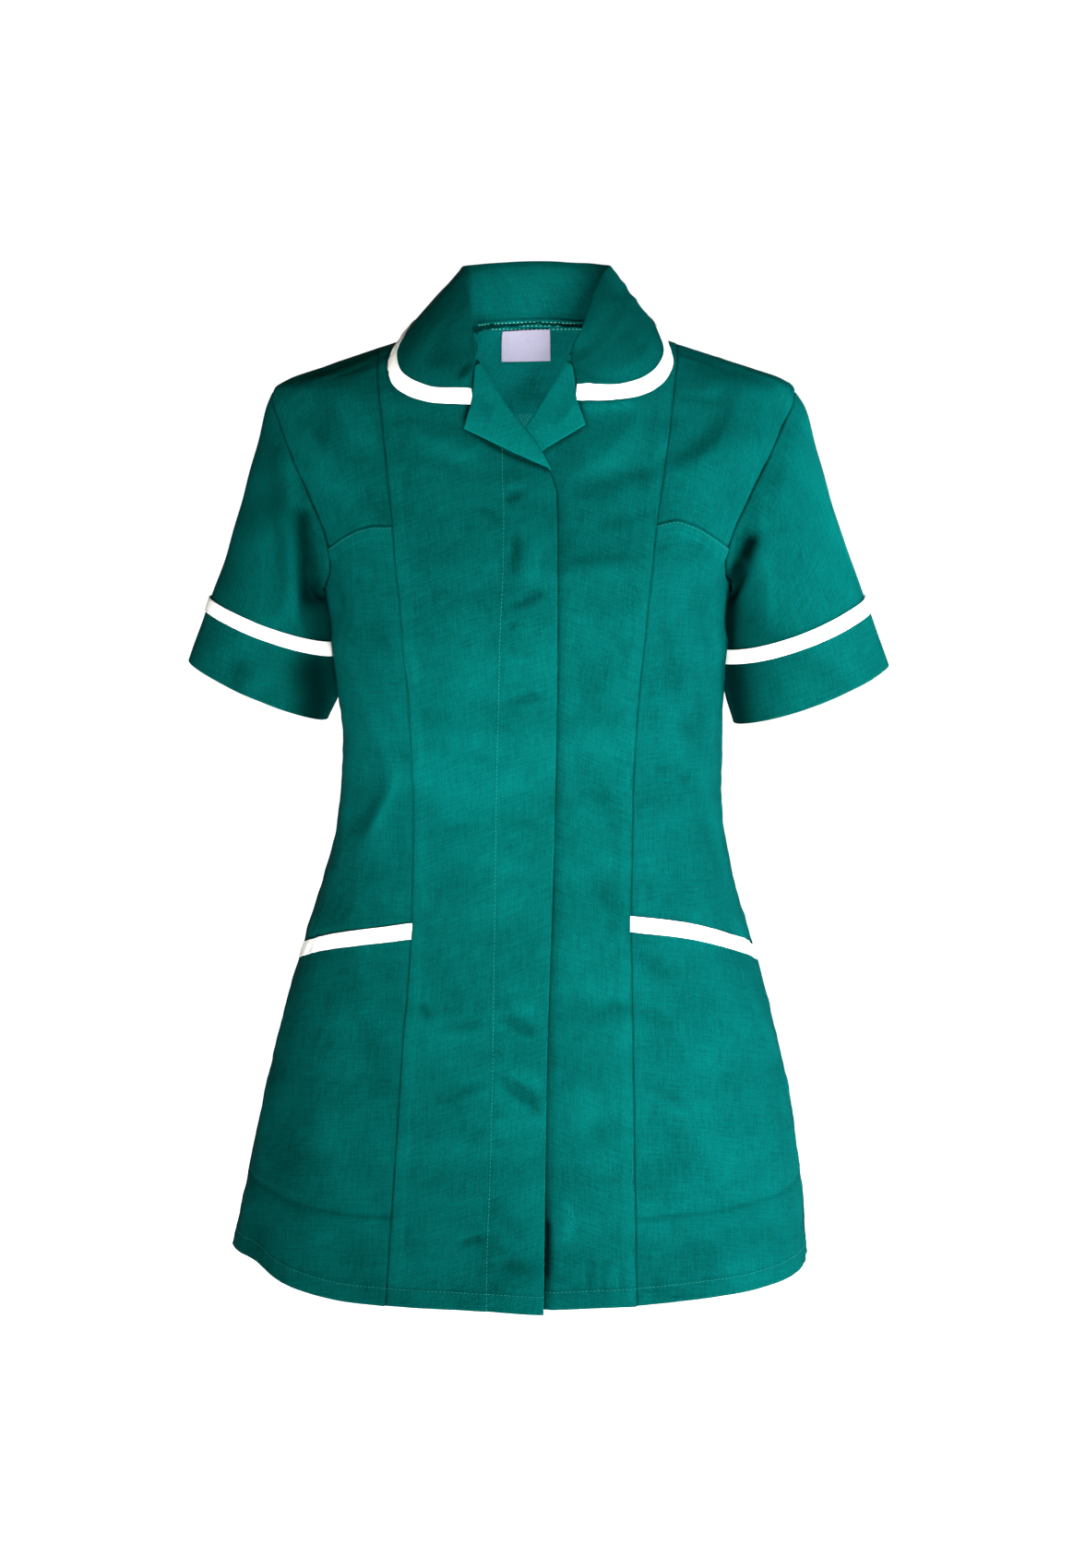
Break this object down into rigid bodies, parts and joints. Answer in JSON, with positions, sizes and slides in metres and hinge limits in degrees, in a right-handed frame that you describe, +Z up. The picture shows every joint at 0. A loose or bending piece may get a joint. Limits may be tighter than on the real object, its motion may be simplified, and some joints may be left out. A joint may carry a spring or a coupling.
{
  "type": "work tunic",
  "caption": "Short-sleeved women's work tunic with open lapel collar, hidden front closing, hip pockets and contrast tape trim, filled out and hollow.",
  "frame": {"origin": "middle of the neck base between the shoulders, where the wearer holds the garment up", "axes": "+Z up towards the collar, -Y out of the garment's front, +X towards the wearer's left sleeve"},
  "size_m": [0.5275, 0.2593, 0.7708],
  "materials": {
    "green_cloth": "polyester-cotton twill, dark teal green, soft sheen",
    "white_tape": "white woven tape",
    "label_satin": "pale lilac-white satin ribbon, bare"
  },
  "bodies": {
    "root": {"front_right": "green_cloth", "front_left": "green_cloth", "side_front_upper_right": "green_cloth", "side_front_upper_left": "green_cloth", "side_front_lower_right": "green_cloth", "side_front_lower_left": "green_cloth", "pocket_front_right": "green_cloth", "pocket_front_left": "green_cloth", "pocket_tape_right": "white_tape", "pocket_tape_left": "white_tape", "lapel_right": "green_cloth", "lapel_left": "green_cloth", "sleeve_right": "green_cloth", "sleeve_left": "green_cloth", "cuff_right": "green_cloth", "cuff_left": "green_cloth", "sleeve_tape_right": "white_tape", "sleeve_tape_left": "white_tape", "back": "green_cloth", "collar": "green_cloth", "collar_tape": "white_tape", "neck_binding": "green_cloth", "label": "label_satin"}
  },
  "joints": []
}
